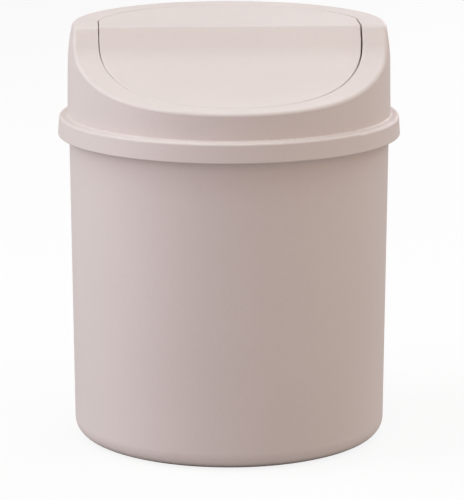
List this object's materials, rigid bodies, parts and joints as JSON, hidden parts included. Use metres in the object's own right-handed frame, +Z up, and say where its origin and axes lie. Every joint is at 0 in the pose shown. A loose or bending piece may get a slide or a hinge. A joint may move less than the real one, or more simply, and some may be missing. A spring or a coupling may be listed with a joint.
{
  "type": "countertop waste bin with swing lid",
  "caption": "Round countertop bin: drafted tub, lift-off hood lid with a banded edge and scooped front, and a flap that swings in and falls shut.",
  "frame": {"origin": "centre of the foot, on the surface that the can stands on", "axes": "+Z up; -Y is the front, where the lid is scooped; +X is on the right as one faces the front"},
  "size_m": [0.139, 0.139, 0.17],
  "materials": {
    "bin_plastic": "fine matte moulded plastic, blush",
    "lid_plastic": "fine matte moulded plastic, blush",
    "flap_plastic": "fine matte moulded plastic, blush"
  },
  "bodies": {
    "bin": {"bin_body": "bin_plastic"},
    "lid": {"lid_frame": "lid_plastic"},
    "flap": {"swing_flap": "flap_plastic"}
  },
  "joints": [
    {"name": "lid_lift", "type": "slide", "parent": "bin", "child": "lid", "axis": [0, 0, 1], "range_m": [0, 0.08]},
    {"name": "flap_swing", "type": "hinge", "parent": "lid", "child": "flap", "pos_m": [0, -0.008, 0.163], "axis": [1, 0, 0], "range_deg": [0, 80]}
  ]
}
